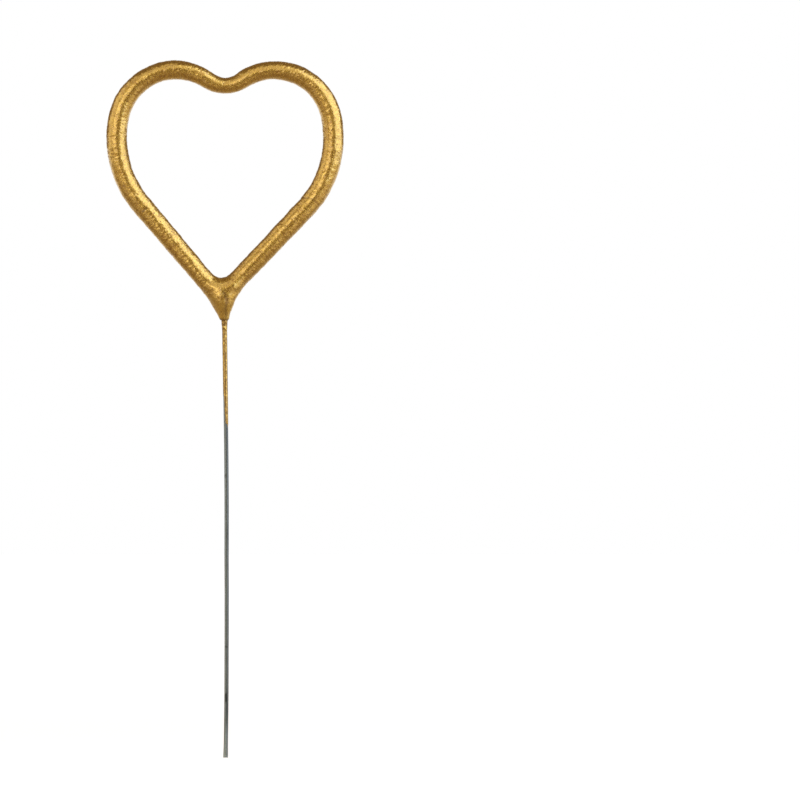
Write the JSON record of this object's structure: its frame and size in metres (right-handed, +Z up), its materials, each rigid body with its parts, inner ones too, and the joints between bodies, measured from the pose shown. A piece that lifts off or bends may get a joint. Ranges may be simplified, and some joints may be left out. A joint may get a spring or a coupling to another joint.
{
  "type": "heart sparkler",
  "caption": "Heart-shaped gold sparkler: a bent steel wire with a bare stem, its loop dipped in grainy composition and painted gold, pushed upright into a cake or holder.",
  "frame": {"origin": "centre of the stem's cut lower end", "axes": "+Z up along the stem; the heart lies in the XZ plane, facing -Y; +X to the right as seen in the picture"},
  "size_m": [0.0612, 0.0054, 0.1797],
  "materials": {
    "steel": "satin",
    "composition": "matte",
    "gold_paint": "satin"
  },
  "bodies": {
    "root": {"steel_wire": "steel", "first_dip_coat": "composition", "second_dip_coat": "composition", "heart_gold_film": "gold_paint", "stem_gold_wash": "gold_paint"}
  },
  "joints": []
}
